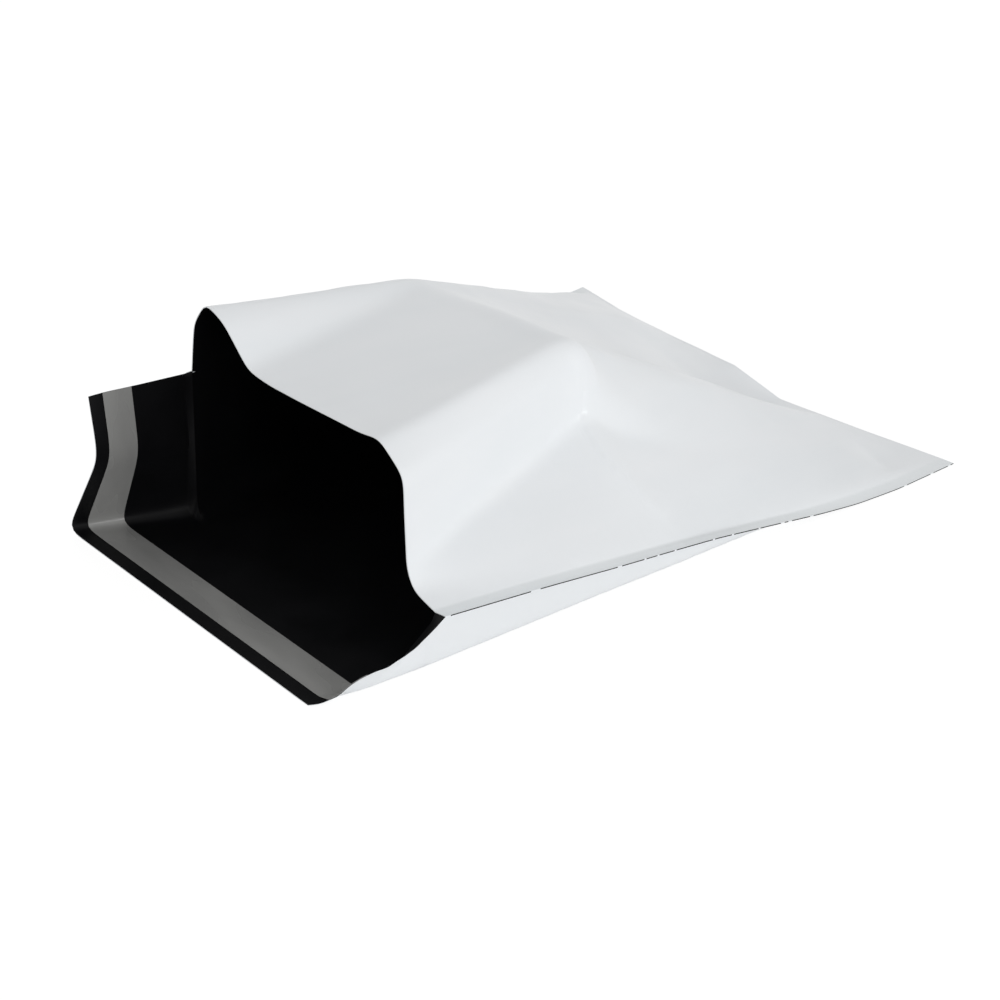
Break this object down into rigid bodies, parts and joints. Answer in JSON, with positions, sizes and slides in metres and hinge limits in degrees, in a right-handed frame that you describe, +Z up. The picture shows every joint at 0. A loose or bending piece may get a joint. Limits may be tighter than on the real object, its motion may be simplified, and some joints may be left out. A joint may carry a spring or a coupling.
{
  "type": "poly mailer bag",
  "caption": "Side-welded plastic film mailing bag lying on its back with its mouth held open, a closure flap reaching past the mouth and a lined adhesive strip across the flap.",
  "frame": {"origin": "on the underside of the back panel, in the middle of the bag's width, under the mouth edge of the front panel, at the height of the surface the bag lies on", "axes": "+Y along the bag from the mouth to the closed end, +X across it towards the lower side seam, +Z up"},
  "size_m": [0.2544, 0.3696, 0.1026],
  "materials": {
    "film_white": "co-extruded polyethylene film, opaque satin white on the outside and black on the inside",
    "hot_melt": "pressure-sensitive hot-melt adhesive, clear to straw",
    "liner_grey": "thin translucent release film that looks mid grey over the black inner face"
  },
  "bodies": {
    "root": {"bag_film": "film_white", "adhesive_strip": "hot_melt", "release_liner": "liner_grey"}
  },
  "joints": []
}
